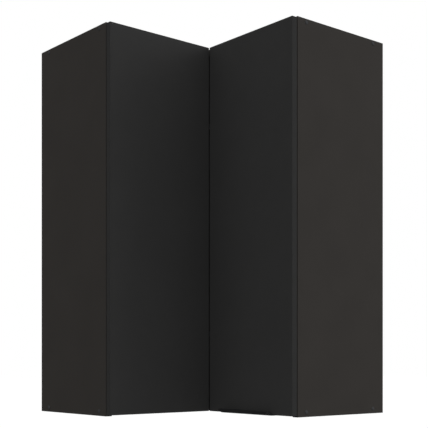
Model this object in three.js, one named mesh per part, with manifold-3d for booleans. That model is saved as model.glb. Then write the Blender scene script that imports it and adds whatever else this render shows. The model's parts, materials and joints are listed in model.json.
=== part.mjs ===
// Corner wall cabinet with a folding pair of doors.
//
// Millimetres, +Z up. The origin is the foot of the line where the two room walls meet, level with the
// lower ends of the side panels. One leg of the L runs along the wall y = 0 towards -X and ends at the
// left side panel, the other runs along the wall x = 0 towards -Y and ends at the right side panel.
// The left door hangs on the left side panel on wide-angle hinges. The right door hangs on the left door
// on two corner hinges, so the pair swings out to the left and unfolds while it does.

import * as THREE from 'three';
import { mergeVertices } from 'three/addons/utils/BufferGeometryUtils.js';
import Module from 'manifold-3d';

const wasm = await Module();
wasm.setup();

// ---------------------------------------------------------------- driving dimensions

// Carcass
const LEG = 600;                // each leg, from the room corner to the outside of its side panel
const HEIGHT = 900;             // side panels
const DEPTH = 292;              // side panels, from the wall to their front edge
const BOARD = 16;               // faced chipboard
const BOTTOM_RAISE = 3;         // the bottom panel sits this far above the ends of the side panels
const BACK_THICKNESS = 3;       // hardboard backs
const BACK_INSET = 17;          // hanging space between the backs and the wall
const GROOVE_DEPTH = 8;
const GROOVE_PLAY = 0.3;
const STILE_WIDTH = 80;         // upright board in the rear corner, behind the left back
const SHELF_COUNT = 2;
const SHELF_SETBACK = 20;       // shelf front edge behind the carcass front
const SHELF_PLAY = 1;           // round a shelf
const SYSTEM_PITCH = 32;        // row of shelf holes
const SYSTEM_INSET = 37;        // row of holes behind the front edge, and in front of the back
const SHELF_HOLES = 3;          // holes in a row, round each shelf
const SHELF_HOLE_RADIUS = 2.5;
const SHELF_HOLE_DEPTH = 10;
const PEG_PLAY = 0.2;           // round a shelf support's peg
const PEG_END_PLAY = 1.5;       // in front of it

// Shelf supports
const SUPPORT_REACH = 12;
const SUPPORT_WIDTH = 9;
const SUPPORT_DROP = 7;
const SUPPORT_LIP = 1.5;        // thickness at the tip

// Screw covers on the outside of the side panels
const CAP_RADIUS = 6;
const CAP_RISE = 2.6;
const CAP_RIM = 0.6;            // straight edge below the dome
const CAP_FROM_FRONT = 28;
const CAP_FROM_WALL = 37;

// Doors
const DOOR_THICKNESS = 15;
const DOOR_GAP = 2;             // between the carcass front and the back of a door
const REVEAL_TOP = 3;           // door below the top of the side panels
const REVEAL_BOTTOM = 3;
const CORNER_GAP = 2;           // left door's face to the inner end of the right door
const DOOR_EDGE_RADIUS = 0.5;

// Edge grip along the bottom of the right door
const GRIP_LENGTH = 168;
const GRIP_OFFSET = 4;          // its middle lies this far from the door's middle, towards the room corner
const GRIP_SHEET = 1.2;
const GRIP_PROJECTION = 19.5;   // in front of the door's face
const GRIP_RISE = 9;            // lip above the door's lower edge
const GRIP_LIP = 8;             // width of the lip's upper edge
const GRIP_FLANGE = 18;         // leg screwed to the back of the door
const GRIP_CREST = 1.2;         // rounding of the lip's outer edge
const GRIP_SCREWS = 128;        // between the outer two of its three screw holes

// Cup hinges, common sizes
const MAIN_HINGE_INSET = 100;   // outer main hinges, from the ends of the door
const CORNER_HINGE_INSET = 190; // corner hinges, from the ends of the door
const CUP_RADIUS = 17.5;        // bore in the door
const CUP_EDGE = 5;             // bore to the door's edge
const CUP_DEPTH = 11.5;
const CUP_WALL = 1;
const CUP_PLAY = 0.3;           // round the cup
const CUP_END_PLAY = 0.5;       // under the cup
const FLANGE_THICKNESS = 1.2;
const FLANGE_RIM = 1;           // round the bore
const FLANGE_LENGTH = 54;
const FLANGE_WIDTH = 15;
const FLANGE_SCREWS = 48;
const FLANGE_SCREW_OFFSET = 5.5;
const SCREW_HOLE_RADIUS = 2;
const PIN_RADIUS = 1.5;
const PIN_PLAY = 0.3;
const PIN_DEPTH = 2.5;          // cup pin below the back of the door
const PIN_FROM_EDGE = 9;        // cup pin inside the bore's near edge
const LUG_THICKNESS = 1.6;
const LUG_HALF_WIDTH = 3;
const LINK_HALF_THICKNESS = 1.4;
const INNER_LINK_HALF_WAIST = 2;
const INNER_LINK_HEIGHT = 8;
const OUTER_LINK_HEIGHT = 12;
const LINK_GAP = 0.4;           // above and below the inner link
const FORK_REACH = 10;          // slot in the outer link, round the middle pin
const LINK_EYE_RADIUS = 3.2;
const CUP_EYE_RADIUS = 2.6;     // eye of the outer link on the cup pin
const ARM_SHEET = 1.6;
const ARM_LENGTH = 56;          // from the arm's pin to its far end
const ARM_EYE_RADIUS = 3.5;
const ARM_WEB_START = 13.5;     // the arm is an open fork up to here
const ARM_WEB_RISE = 6;         // arm's web above its pin
const ARM_CLEAR = 0.5;          // arm above the base of its plate
const ARM_SIDE_GAP = 0.6;       // between the arm's sides and the inner link
const ARM_SEAT_GAP = 0.3;       // arm's web above the plate's rail
const ARM_NOSE = 4;             // where the sides taper towards the eye
const ARM_TAIL_RADIUS = 5;
const PLATE_THICKNESS = 2.5;
const PLATE_LENGTH = 48;
const PLATE_SCREWS = 32;
const PLATE_WIDTH = 18;
const PLATE_RAIL_LENGTH = 36;
const PLATE_NOTCH_DEPTH = 3;    // in the top of the rail
const PLATE_CORNER = 4;

// Main hinges: the door turns about a line just in front of its outer edge
const PIVOT_PROUD = 1;
const MAIN_ARM_PIN = { out: 8, ahead: -1.5 };    // out from the side panel, ahead of its front edge
// Corner hinges: the right door turns about a line just in front of the inside corner of the faces
const FOLD_PROUD = { left: 0.5, right: 0.5 };    // in front of the left and of the right door's face
const CORNER_ARM_PIN = { out: 11, ahead: -2 };   // out from the left door's back, past its inner end

// Cabinet hangers
const HANGER_WIDTH = 18;
const HANGER_DEPTH = 42;
const HANGER_HEIGHT = 58;
const HANGER_BELOW_TOP = 6;
const HANGER_NOSE = 14;         // rounding of its upper front edge
const HANGER_CORNER = 5;
const HANGER_SCREW_RADIUS = 3.2;
const HANGER_SCREW_PITCH = 20;  // from the top to the height screw, and on to the depth screw
const HANGER_WELL_RADIUS = 4.5;
const HANGER_WELL_DEPTH = 4;
const HOOK_BELOW_TOP = 4;       // hook under the top of its housing
const HOOK_SHEET = 2;
const HOOK_WIDTH = 14;
const HOOK_REACH = 13;          // behind the back's front face
const HOOK_DROP = 16;
const HOOK_BEND = 1.5;
const HOOK_TIP = 3;             // bevelled end
const HOOK_PLAY = 2;            // in the opening of the back

// Smoothness of the round forms
const CUP_SIDES = 24;
const PIN_SIDES = 10;
const HOLE_SIDES = 8;
const FORK_SIDES = 16;

// ---------------------------------------------------------------- places worked out from them

const INNER = LEG - BOARD;                       // room corner to the inside of a side panel
const TOP_INSIDE = HEIGHT - BOARD;
const BOTTOM_INSIDE = BOTTOM_RAISE + BOARD;
const BACK_FRONT = BACK_INSET + BACK_THICKNESS;  // wall to the front of a back
const DOOR_BACK = DEPTH + DOOR_GAP;
const DOOR_FRONT = DOOR_BACK + DOOR_THICKNESS;
const DOOR_BOTTOM = REVEAL_BOTTOM;
const DOOR_TOP = HEIGHT - REVEAL_TOP;
const LEFT_DOOR_WIDTH = LEG - DOOR_FRONT;
const RIGHT_DOOR_WIDTH = LEG - DOOR_FRONT - CORNER_GAP;
const CUP_BORE_DEPTH = CUP_DEPTH + CUP_END_PLAY;
const CUP_CENTRE = CUP_EDGE + CUP_RADIUS;        // from the door's edge
const CUP_PIN_ALONG = CUP_EDGE + PIN_FROM_EDGE;  // cup pin from the door's edge
const MAIN_HINGE_HEIGHTS = [
  DOOR_BOTTOM + MAIN_HINGE_INSET,
  (DOOR_BOTTOM + DOOR_TOP) / 2,
  DOOR_TOP - MAIN_HINGE_INSET,
];
const CORNER_HINGE_HEIGHTS = [DOOR_BOTTOM + CORNER_HINGE_INSET, DOOR_TOP - CORNER_HINGE_INSET];
const SHELF_CLEAR = (TOP_INSIDE - BOTTOM_INSIDE - SHELF_COUNT * BOARD) / (SHELF_COUNT + 1);

// ---------------------------------------------------------------- materials

function finish(color, roughness, metalness = 0) {
  return new THREE.MeshStandardMaterial({ color, roughness, metalness });
}

const MATERIALS = {
  carcass: finish(0x3a3734, 0.55),
  door: finish(0x2e2e2e, 0.5),
  hardboard: finish(0x35322f, 0.75),
  steel: finish(0xb9bcc0, 0.3, 1),
  bluedSteel: finish(0x3a3c42, 0.35, 1),
  grip: finish(0x1f1f20, 0.4, 0.6),
  cap: finish(0x55575a, 0.45),
  plastic: finish(0x8d8f92, 0.5),
};

// ---------------------------------------------------------------- solids

function toSolid(geometry) {
  const bare = geometry.clone();
  bare.deleteAttribute('normal');
  bare.deleteAttribute('uv');
  const merged = mergeVertices(bare, 1e-4);
  const vertProperties = new Float32Array(merged.attributes.position.array);
  const triVerts = new Uint32Array(merged.index.array);
  return new wasm.Manifold(new wasm.Mesh({ numProp: 3, vertProperties, triVerts }));
}

function toGeometry(solid) {
  const { vertProperties, triVerts } = solid.getMesh();
  const geometry = new THREE.BufferGeometry();
  geometry.setAttribute('position', new THREE.BufferAttribute(new Float32Array(vertProperties), 3));
  geometry.setIndex(new THREE.BufferAttribute(new Uint32Array(triVerts), 1));
  const flat = geometry.toNonIndexed();
  flat.computeVertexNormals();
  return flat;
}

const join = (first, ...others) => others.reduce((whole, next) => whole.add(next), first);
const cut = (first, ...others) => others.reduce((whole, next) => whole.subtract(next), first);

// A block between two opposite corners.
function block([x0, y0, z0], [x1, y1, z1]) {
  const geometry = new THREE.BoxGeometry(Math.abs(x1 - x0), Math.abs(y1 - y0), Math.abs(z1 - z0));
  return toSolid(geometry.translate((x0 + x1) / 2, (y0 + y1) / 2, (z0 + z1) / 2));
}

// An outline in plan, raised from z0 to z1.
function raise(shape, z0, z1, curveSegments = 6) {
  const geometry = new THREE.ExtrudeGeometry(shape, { depth: z1 - z0, bevelEnabled: false, curveSegments });
  return toSolid(geometry.translate(0, 0, z0));
}

// A round bar that stands on (x, y) from z0 to z1.
function upright(radius, [x, y], z0, z1, sides = PIN_SIDES) {
  const geometry = new THREE.CylinderGeometry(radius, radius, z1 - z0, sides);
  return toSolid(geometry.rotateX(Math.PI / 2).translate(x, y, (z0 + z1) / 2));
}

const polygon = (points) => new THREE.Shape(points.map(([x, y]) => new THREE.Vector2(x, y)));

// A rectangle with rounded corners.
function roundedRectangle(x0, y0, x1, y1, radius) {
  const shape = new THREE.Shape();
  shape.moveTo(x0 + radius, y0);
  shape.lineTo(x1 - radius, y0);
  shape.absarc(x1 - radius, y0 + radius, radius, -Math.PI / 2, 0);
  shape.lineTo(x1, y1 - radius);
  shape.absarc(x1 - radius, y1 - radius, radius, 0, Math.PI / 2);
  shape.lineTo(x0 + radius, y1);
  shape.absarc(x0 + radius, y1 - radius, radius, Math.PI / 2, Math.PI);
  shape.lineTo(x0, y0 + radius);
  shape.absarc(x0 + radius, y0 + radius, radius, Math.PI, Math.PI * 1.5);
  return shape;
}

// Turns a solid so that its x, y and z directions point along three given ones, then moves it.
function seat(solid, xAxis, yAxis, zAxis, origin) {
  const matrix = [...xAxis, 0, ...yAxis, 0, ...zAxis, 0, ...origin, 1];
  return solid.transform(matrix);
}

const X = [1, 0, 0];
const Y = [0, 1, 0];
const Z = [0, 0, 1];
const minus = (axis) => axis.map((value) => 0 - value);

// The same piece on the other leg: x and y change places, which also turns it inside out, so the
// transform is a mirror and the solid keeps its outward faces.
const onRightLeg = (solid) => seat(solid, Y, X, Z, [0, 0, 0]);

// ---------------------------------------------------------------- the object

const cabinet = new THREE.Group();

function add(name, solid, material) {
  const mesh = new THREE.Mesh(toGeometry(solid), MATERIALS[material].clone());
  mesh.name = name;
  cabinet.add(mesh);
}

// ---------------------------------------------------------------- carcass

const shelfBottoms = Array.from({ length: SHELF_COUNT }, (_, i) => (
  BOTTOM_INSIDE + (i + 1) * SHELF_CLEAR + i * BOARD
));
const supportRows = [DEPTH - SYSTEM_INSET, BACK_FRONT + SYSTEM_INSET];   // distance from the wall
const pegHeight = (shelfBottom) => shelfBottom - SUPPORT_DROP / 2;

// A round hole whose axis lies along Y, from the point (x, y, z) towards -Y.
function boreAlongY(radius, [x, y, z], depth, sides) {
  const geometry = new THREE.CylinderGeometry(radius, radius, depth, sides);
  return toSolid(geometry.translate(x, y - depth / 2, z));
}

// Left leg's L-shaped boards, seen in plan. reach is how far the legs run, front and back are the
// distances of the front and rear edges from the wall.
function boardOutline(reach, front, back) {
  return polygon([
    [-reach, -back], [-reach, -front], [-front, -front], [-front, -reach], [-back, -reach], [-back, -back],
  ]);
}

function shelfHoleHeights() {
  const steps = Array.from({ length: SHELF_HOLES }, (_, i) => (i - (SHELF_HOLES - 1) / 2) * SYSTEM_PITCH);
  return shelfBottoms.flatMap((bottom) => steps.map((step) => pegHeight(bottom) + step));
}

function sidePanel() {
  const panel = block([-LEG, -DEPTH, 0], [-INNER, 0, HEIGHT]);
  const groove = block(
    [-INNER - GROOVE_DEPTH, -BACK_FRONT - GROOVE_PLAY, BOTTOM_INSIDE - GROOVE_DEPTH],
    [-INNER + 1, -BACK_INSET + GROOVE_PLAY, TOP_INSIDE + GROOVE_DEPTH],
  );
  const holes = supportRows.flatMap((row) => shelfHoleHeights().map((height) => seat(
    boreAlongY(SHELF_HOLE_RADIUS, [0, 1, 0], SHELF_HOLE_DEPTH + 1, HOLE_SIDES),
    minus(Y), X, Z, [-INNER, -row, height],
  )));
  return cut(panel, groove, ...holes);
}

// Grooves for the two backs, cut into the board from z0 to z1.
function backGrooves(z0, z1) {
  const left = block([-LEG, -BACK_FRONT - GROOVE_PLAY, z0], [1, -BACK_INSET + GROOVE_PLAY, z1]);
  const right = block([-BACK_FRONT - GROOVE_PLAY, -LEG, z0], [-BACK_INSET + GROOVE_PLAY, -BACK_FRONT, z1]);
  return [left, right];
}

function topPanel() {
  const board = raise(boardOutline(INNER, DEPTH, 0), TOP_INSIDE, HEIGHT);
  return cut(board, ...backGrooves(TOP_INSIDE - 1, TOP_INSIDE + GROOVE_DEPTH));
}

function bottomPanel() {
  const board = raise(boardOutline(INNER, DEPTH, 0), BOTTOM_RAISE, BOTTOM_INSIDE);
  return cut(board, ...backGrooves(BOTTOM_INSIDE - GROOVE_DEPTH, BOTTOM_INSIDE + 1));
}

const BACK_LOW = BOTTOM_INSIDE - GROOVE_DEPTH + GROOVE_PLAY;
const BACK_HIGH = TOP_INSIDE + GROOVE_DEPTH - GROOVE_PLAY;
const BACK_END = -INNER - GROOVE_DEPTH + GROOVE_PLAY;
const HANGER_TOP = TOP_INSIDE - HANGER_BELOW_TOP;
const HOOK_TOP = HANGER_TOP - HOOK_BELOW_TOP;

// Opening in a back for the hook of the hanger.
function hookOpening() {
  return block(
    [-INNER - 1, -BACK_FRONT - 1, HOOK_TOP - HOOK_DROP - HOOK_PLAY],
    [-INNER + HANGER_WIDTH, -BACK_INSET + 1, HOOK_TOP + HOOK_PLAY],
  );
}

const REAR_SUPPORT_X = -STILE_WIDTH / 2 - BACK_INSET;

function rearPegHoles() {
  const end = SHELF_HOLE_DEPTH - BACK_FRONT;
  return shelfBottoms.map((bottom) => boreAlongY(
    SHELF_HOLE_RADIUS, [REAR_SUPPORT_X, end, pegHeight(bottom)], SHELF_HOLE_DEPTH + 1, HOLE_SIDES,
  ));
}

function leftBack() {
  const sheet = block([BACK_END, -BACK_FRONT, BACK_LOW], [0, -BACK_INSET, BACK_HIGH]);
  return cut(sheet, hookOpening(), ...rearPegHoles());
}

function rightBack() {
  const end = -BACK_FRONT - GROOVE_PLAY;
  const sheet = block([BACK_END, -BACK_FRONT, BACK_LOW], [end, -BACK_INSET, BACK_HIGH]);
  return onRightLeg(cut(sheet, hookOpening()));
}

function cornerStile() {
  const rear = BOARD - BACK_INSET;
  const board = block(
    [-STILE_WIDTH - BACK_INSET, -BACK_INSET, BOTTOM_INSIDE],
    [-BACK_INSET, rear, TOP_INSIDE],
  );
  return cut(board, ...rearPegHoles());
}

function shelf(bottom) {
  const front = DEPTH - SHELF_SETBACK;
  return raise(boardOutline(INNER - SHELF_PLAY, front, BACK_FRONT + SHELF_PLAY), bottom, bottom + BOARD);
}

// A support stands on the plane x = 0 and reaches towards +X. Its flat top carries the shelf and its
// underside is rounded. The peg points back into the board.
function shelfSupport() {
  const profile = new THREE.Shape();
  profile.moveTo(0, 0);
  profile.lineTo(0, -SUPPORT_DROP);
  profile.quadraticCurveTo(SUPPORT_REACH, -SUPPORT_DROP, SUPPORT_REACH, -SUPPORT_LIP);
  profile.lineTo(SUPPORT_REACH, 0);
  const width = SUPPORT_WIDTH / 2;
  const tab = seat(raise(profile, -width, width, 4), X, Z, minus(Y), [0, 0, 0]);
  const pegLength = SHELF_HOLE_DEPTH - PEG_END_PLAY;
  const peg = seat(
    boreAlongY(SHELF_HOLE_RADIUS - PEG_PLAY, [0, 0, 0], pegLength + 1, HOLE_SIDES),
    minus(Y), X, Z, [1, 0, -SUPPORT_DROP / 2],
  );
  return join(tab, peg);
}

function addShelfSupports(level, bottom) {
  const [front, rear] = supportRows;
  const support = shelfSupport();
  const onLeft = (fromWall) => seat(support, X, Y, Z, [-INNER, -fromWall, bottom]);
  const onRight = (fromWall) => seat(support, Y, minus(X), Z, [-fromWall, -INNER, bottom]);
  add(`${level}_support_left_front`, onLeft(front), 'steel');
  add(`${level}_support_left_rear`, onLeft(rear), 'steel');
  add(`${level}_support_right_front`, onRight(front), 'steel');
  add(`${level}_support_right_rear`, onRight(rear), 'steel');
  const onStile = seat(support, minus(Y), X, Z, [REAR_SUPPORT_X, -BACK_FRONT, bottom]);
  add(`${level}_support_corner`, onStile, 'steel');
}

// Domed cover over a carcass screw. It stands on the plane x = 0 and bulges towards -X.
function screwCap() {
  const dome = [[0, 0], [CAP_RADIUS, 0], [CAP_RADIUS, CAP_RIM]];
  const steps = 3;
  for (let i = 1; i < steps; i += 1) {
    const angle = (i / steps) * (Math.PI / 2);
    dome.push([CAP_RADIUS * Math.cos(angle), CAP_RIM + (CAP_RISE - CAP_RIM) * Math.sin(angle)]);
  }
  dome.push([0, CAP_RISE]);
  const geometry = new THREE.LatheGeometry(dome.map(([r, h]) => new THREE.Vector2(r, h)), 16);
  return seat(toSolid(geometry), Y, minus(X), Z, [0, 0, 0]);
}

function addScrewCaps() {
  const cap = screwCap();
  const heights = { bottom: BOTTOM_RAISE + BOARD / 2, top: HEIGHT - BOARD / 2 };
  const places = { front: DEPTH - CAP_FROM_FRONT, rear: CAP_FROM_WALL };
  for (const [level, height] of Object.entries(heights)) {
    for (const [place, fromWall] of Object.entries(places)) {
      const left = seat(cap, X, Y, Z, [-LEG, -fromWall, height]);
      add(`left_cap_${level}_${place}`, left, 'cap');
      add(`right_cap_${level}_${place}`, onRightLeg(left), 'cap');
    }
  }
}

// ---------------------------------------------------------------- hangers

// Housing of the left hanger, screwed into the top rear corner, with a slot for the hook and two
// wells in front for the height and depth screws.
function hangerHousing() {
  const rear = -BACK_FRONT - GROOVE_PLAY;
  const front = rear - HANGER_DEPTH;
  const low = HANGER_TOP - HANGER_HEIGHT;
  const outline = new THREE.Shape();
  outline.moveTo(rear, low);
  outline.lineTo(rear, HANGER_TOP);
  outline.lineTo(front + HANGER_NOSE, HANGER_TOP);
  outline.quadraticCurveTo(front, HANGER_TOP, front, HANGER_TOP - HANGER_NOSE);
  outline.lineTo(front, low + HANGER_CORNER);
  outline.quadraticCurveTo(front, low, front + HANGER_CORNER, low);
  const body = seat(raise(outline, 0, HANGER_WIDTH, 5), Y, Z, X, [-INNER, 0, 0]);
  const heights = [1, 2].map((step) => HANGER_TOP - step * HANGER_SCREW_PITCH);
  const floor = front + HANGER_WELL_DEPTH;
  const wells = heights.map((height) => boreAlongY(
    HANGER_WELL_RADIUS, [HOOK_MIDDLE, floor, height], HANGER_WELL_DEPTH + 1, PIN_SIDES,
  ));
  const screws = heights.map((height) => boreAlongY(
    HANGER_SCREW_RADIUS, [HOOK_MIDDLE, floor + 1, height], HANGER_WELL_DEPTH / 2 + 1, PIN_SIDES,
  ));
  return join(cut(body, hookSlot(), ...wells), ...screws);
}

// The hook's middle, across, and the front end of its shank.
const HOOK_MIDDLE = -INNER + HANGER_WIDTH / 2;
const HOOK_FRONT = -BACK_FRONT - HANGER_DEPTH / 2;

// Space for the shank inside the housing.
function hookSlot() {
  const half = HOOK_WIDTH / 2 + GROOVE_PLAY;
  return block(
    [HOOK_MIDDLE - half, HOOK_FRONT - GROOVE_PLAY, HOOK_TOP - HOOK_SHEET - GROOVE_PLAY],
    [HOOK_MIDDLE + half, -BACK_FRONT + 1, HOOK_TOP + GROOVE_PLAY],
  );
}

// Steel hook: a flat shank that slides out of the housing and turns down over the wall rail.
function hangerHook() {
  const outside = -BACK_FRONT + HOOK_REACH;
  const inside = outside - HOOK_SHEET;
  const tip = HOOK_TOP - HOOK_DROP;
  const profile = polygon([
    [HOOK_FRONT, HOOK_TOP], [HOOK_FRONT, HOOK_TOP - HOOK_SHEET], [inside, HOOK_TOP - HOOK_SHEET],
    [inside, tip + HOOK_TIP], [inside - HOOK_BEND, tip], [outside - HOOK_BEND, tip],
    [outside, tip + HOOK_TIP], [outside, HOOK_TOP - HOOK_BEND], [outside - HOOK_BEND, HOOK_TOP],
  ]);
  return seat(raise(profile, -HOOK_WIDTH / 2, HOOK_WIDTH / 2), Y, Z, X, [HOOK_MIDDLE, 0, 0]);
}

// ---------------------------------------------------------------- doors

// Bore for a hinge cup. The cup's own frame has its axis along z, out of the door, its origin on the
// door's back at the middle of the cup, and x away from the door's edge.
const cupBore = () => upright(CUP_RADIUS, [0, 0], -CUP_BORE_DEPTH, 1, CUP_SIDES);

const mainCupSeat = (solid, height) => seat(solid, X, minus(Z), Y, [-LEG + CUP_CENTRE, -DOOR_BACK, height]);

const cornerCupSeat = (solid, height) => seat(
  solid, minus(Y), minus(Z), X, [-DOOR_BACK, -DOOR_FRONT - CORNER_GAP - CUP_CENTRE, height],
);

function leftDoor() {
  const outline = roundedRectangle(-LEG, -DOOR_FRONT, -LEG + LEFT_DOOR_WIDTH, -DOOR_BACK, DOOR_EDGE_RADIUS);
  const board = raise(outline, DOOR_BOTTOM, DOOR_TOP, 2);
  return cut(board, ...MAIN_HINGE_HEIGHTS.map((height) => mainCupSeat(cupBore(), height)));
}

function rightDoor() {
  const outline = roundedRectangle(-DOOR_FRONT, -LEG, -DOOR_BACK, -LEG + RIGHT_DOOR_WIDTH, DOOR_EDGE_RADIUS);
  const board = raise(outline, DOOR_BOTTOM, DOOR_TOP, 2);
  return cut(board, ...CORNER_HINGE_HEIGHTS.map((height) => cornerCupSeat(cupBore(), height)));
}

// The grip's section: a leg up the back of the door, a web under its lower edge, and in front a lip
// that curves out and up. The section's x runs out of the door's face and its y is the height.
function gripSection() {
  const back = -DOOR_THICKNESS;
  const under = DOOR_BOTTOM - GRIP_SHEET;
  const lipTop = DOOR_BOTTOM + GRIP_RISE;
  const lip = GRIP_PROJECTION;
  const crest = lip - GRIP_CREST;
  const section = new THREE.Shape();
  section.moveTo(back, DOOR_BOTTOM);
  section.lineTo(back, DOOR_BOTTOM + GRIP_FLANGE);
  section.lineTo(back - GRIP_SHEET, DOOR_BOTTOM + GRIP_FLANGE);
  section.lineTo(back - GRIP_SHEET, under);
  section.lineTo(0, under);
  section.bezierCurveTo(lip * 0.6, under, lip, under + GRIP_RISE * 0.45, lip, lipTop - GRIP_CREST);
  section.quadraticCurveTo(lip, lipTop, crest, lipTop);
  section.lineTo(lip - GRIP_LIP, lipTop);
  section.quadraticCurveTo(lip / 3, DOOR_BOTTOM + GRIP_RISE * 0.35, GRIP_SHEET, DOOR_BOTTOM);
  return section;
}

function edgeGrip() {
  const middle = -LEG + RIGHT_DOOR_WIDTH / 2 + GRIP_OFFSET;
  const bar = raise(gripSection(), -GRIP_LENGTH / 2, GRIP_LENGTH / 2, 7);
  const holes = [-1, 0, 1].map((place) => seat(
    upright(SCREW_HOLE_RADIUS, [0, 0], -DOOR_THICKNESS - GRIP_SHEET - 1, 1 - DOOR_THICKNESS, HOLE_SIDES),
    Z, Y, X, [0, DOOR_BOTTOM + GRIP_FLANGE / 2, place * GRIP_SCREWS / 2],
  ));
  return seat(cut(bar, ...holes), minus(X), Z, Y, [-DOOR_FRONT, middle, 0]);
}

// ---------------------------------------------------------------- hinges

// Every hinge is a parallelogram of four pivots. The arm's pin and the cup's pin are real, the middle
// pin joins the two links, and the fourth corner is the line that the door turns about. The inner link
// turns as the door does and the outer link only travels, so its shape has to reach round the edge of
// the door. All places are in plan, seen from that line.
const mainPivot = [-LEG, -DOOR_FRONT - PIVOT_PROUD];
const mainCupPin = [CUP_PIN_ALONG, PIVOT_PROUD + DOOR_THICKNESS - PIN_DEPTH];
const mainArmPin = [BOARD + MAIN_ARM_PIN.out, -DEPTH - MAIN_ARM_PIN.ahead - mainPivot[1]];

const foldPivot = [-DOOR_FRONT - FOLD_PROUD.right, -DOOR_FRONT - FOLD_PROUD.left];
const cornerCupPin = [
  FOLD_PROUD.right + DOOR_THICKNESS - PIN_DEPTH,
  FOLD_PROUD.left - CORNER_GAP - CUP_PIN_ALONG,
];
const cornerArmPin = [
  FOLD_PROUD.right + CORNER_ARM_PIN.ahead,
  FOLD_PROUD.left + DOOR_THICKNESS + CORNER_ARM_PIN.out,
];

const plus = ([ax, ay], [bx, by]) => [ax + bx, ay + by];

// Where the outer links pass between the cup pin and the middle pin, seen from the cup pin.
const MAIN_LINK_BENDS = [[4, -2.8], [9.5, -4], [15, -3.6], [18.6, -0.5], [20, 6]];
const CORNER_LINK_BENDS = [[4, 1], [7.6, 5], [8, 12], [4.8, 19.5]];

// A strip of even thickness along a smooth curve through the points, in plan.
function strip(points, halfThickness, steps) {
  const curve = new THREE.SplineCurve(points.map(([x, y]) => new THREE.Vector2(x, y)));
  const offset = (side) => Array.from({ length: steps + 1 }, (_, i) => {
    const at = curve.getPoint(i / steps);
    const along = curve.getTangent(i / steps);
    return [at.x - side * along.y * halfThickness, at.y + side * along.x * halfThickness];
  });
  return polygon([...offset(-1), ...offset(1).reverse()]);
}

// Inner link: two eyes on a waisted plate, with its two pins through them.
function innerLink(armPin, middlePin) {
  const half = INNER_LINK_HEIGHT / 2;
  const pinHalf = OUTER_LINK_HEIGHT / 2;
  const plate = raise(strip([armPin, middlePin], INNER_LINK_HALF_WAIST, 1), -half, half);
  const ends = [armPin, middlePin];
  return join(
    plate,
    ...ends.map((pin) => upright(LINK_EYE_RADIUS, pin, -half, half)),
    ...ends.map((pin) => upright(PIN_RADIUS, pin, -pinHalf, pinHalf)),
  );
}

// Outer link: a bent strip from the cup pin to a fork round the middle pin.
function outerLink(cupPin, middlePin, bends) {
  const half = OUTER_LINK_HEIGHT / 2;
  const slotHalf = INNER_LINK_HEIGHT / 2 + LINK_GAP;
  const route = [cupPin, ...bends.map((bend) => plus(cupPin, bend)), middlePin];
  const body = join(
    raise(strip(route, LINK_HALF_THICKNESS, 12), -half, half),
    upright(CUP_EYE_RADIUS, cupPin, -half, half),
    upright(LINK_EYE_RADIUS, middlePin, -half, half),
  );
  const slot = upright(FORK_REACH, middlePin, -slotHalf, slotHalf, FORK_SIDES);
  const hole = upright(PIN_RADIUS + PIN_PLAY, middlePin, -half - 1, half + 1);
  const cupPinHalf = half + LINK_GAP * 3 + LUG_THICKNESS;
  return join(cut(body, slot, hole), upright(PIN_RADIUS, cupPin, -cupPinHalf, cupPinHalf));
}

// Hinge cup in the cup's own frame: a drawn steel cup with a screw flange and two lugs for the pin.
function hingeCup() {
  const outer = CUP_RADIUS - CUP_PLAY;
  const inner = outer - CUP_WALL;
  const well = cut(
    upright(outer, [0, 0], -CUP_DEPTH, 0, CUP_SIDES),
    upright(inner, [0, 0], -CUP_DEPTH + CUP_WALL, 1, CUP_SIDES),
  );
  const half = FLANGE_LENGTH / 2;
  const middle = FLANGE_SCREW_OFFSET;
  const wing = roundedRectangle(middle - FLANGE_WIDTH / 2, -half, middle + FLANGE_WIDTH / 2, half, 4);
  const flange = cut(
    join(
      raise(wing, 0, FLANGE_THICKNESS, 2),
      upright(CUP_RADIUS + FLANGE_RIM, [0, 0], 0, FLANGE_THICKNESS, CUP_SIDES),
    ),
    upright(inner, [0, 0], -1, FLANGE_THICKNESS + 1, CUP_SIDES),
    ...[-1, 1].map((side) => upright(
      SCREW_HOLE_RADIUS, [middle, side * FLANGE_SCREWS / 2], -1, FLANGE_THICKNESS + 1, HOLE_SIDES,
    )),
  );
  return join(well, flange, ...hingeLugs());
}

// The two lugs that hold the cup pin, standing on the bottom of the cup.
function hingeLugs() {
  const pinX = CUP_PIN_ALONG - CUP_CENTRE;
  const near = OUTER_LINK_HEIGHT / 2 + LINK_GAP * 3;
  const foot = -CUP_DEPTH + CUP_WALL / 2;
  const post = block([pinX - LUG_HALF_WIDTH, 0, foot], [pinX + LUG_HALF_WIDTH, LUG_THICKNESS, -PIN_DEPTH]);
  const lug = cut(
    join(post, lugEye(pinX, LUG_HALF_WIDTH, 0, LUG_THICKNESS)),
    lugEye(pinX, PIN_RADIUS + PIN_PLAY, -1, LUG_THICKNESS + 1),
  );
  return [lug.translate([0, near, 0]), lug.translate([0, -near - LUG_THICKNESS, 0])];
}

// A round form across a lug, along y from y0 to y1, at the cup pin.
function lugEye(pinX, radius, y0, y1) {
  const geometry = new THREE.CylinderGeometry(radius, radius, y1 - y0, PIN_SIDES);
  return toSolid(geometry.translate(pinX, (y0 + y1) / 2, -PIN_DEPTH));
}

// Where the arm's lower edge runs into its eye.
const EYE_START = Math.PI * 2 / 3;

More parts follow.
